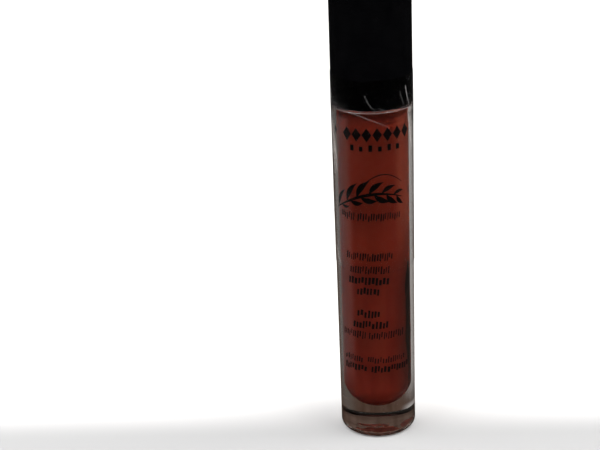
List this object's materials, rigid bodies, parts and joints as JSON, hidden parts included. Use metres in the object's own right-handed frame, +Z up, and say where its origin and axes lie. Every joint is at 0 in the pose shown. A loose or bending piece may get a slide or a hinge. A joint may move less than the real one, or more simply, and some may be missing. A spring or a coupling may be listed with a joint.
{
  "type": "liquid lipstick tube",
  "caption": "Slim clear round bottle of liquid lipstick with a threaded neck, a wiper and a gloss black screw cap that carries the applicator wand.",
  "frame": {"origin": "centre of the bottle's base, on the surface it stands on", "axes": "+Z up the bottle's axis towards the cap; the printed front faces -Y and the applicator's slanted face looks along -Y"},
  "size_m": [0.0162, 0.0162, 0.116],
  "materials": {
    "bottle": "clear thick-walled, polished",
    "shade_label": "printed film sticker",
    "wiper": "natural soft polyethylene",
    "lipstick": "opaque satin liquid",
    "cap_shell": "piano black",
    "inner_cap": "moulded polypropylene",
    "gasket": "white closed-cell foam",
    "stem": "moulded, wet with product",
    "tip_core": "soft moulded",
    "flock": "short flocked nylon, stained",
    "seal_film": "clear shrink film"
  },
  "bodies": {
    "bottle": {"bottle": "bottle", "shade_label": "shade_label", "wiper": "wiper", "lipstick_fill": "lipstick", "seal_sleeve_lower": "seal_film"},
    "gasket": {"neck_gasket": "gasket"},
    "stem": {"applicator_stem": "stem"},
    "cap": {"cap_shell": "cap_shell", "inner_cap": "inner_cap", "applicator_tip": "tip_core", "applicator_flock": "flock", "seal_sleeve_upper": "seal_film"}
  },
  "joints": [
    {"name": "cap_lift_off", "type": "slide", "parent": "bottle", "child": "gasket", "axis": [0, 0, 1], "range_m": [0, 0.085]},
    {"name": "cap_rise", "type": "slide", "parent": "gasket", "child": "stem", "axis": [0, 0, 1], "range_m": [0, 0.0045]},
    {"name": "cap_turn", "type": "hinge", "parent": "stem", "child": "cap", "pos_m": [0, 0, 0], "axis": [0, 0, 1], "range_deg": [0, 540]}
  ],
  "couplings": [
    {"joint": "cap_turn", "follows": "cap_rise", "rad_per_m": 2094.4}
  ]
}
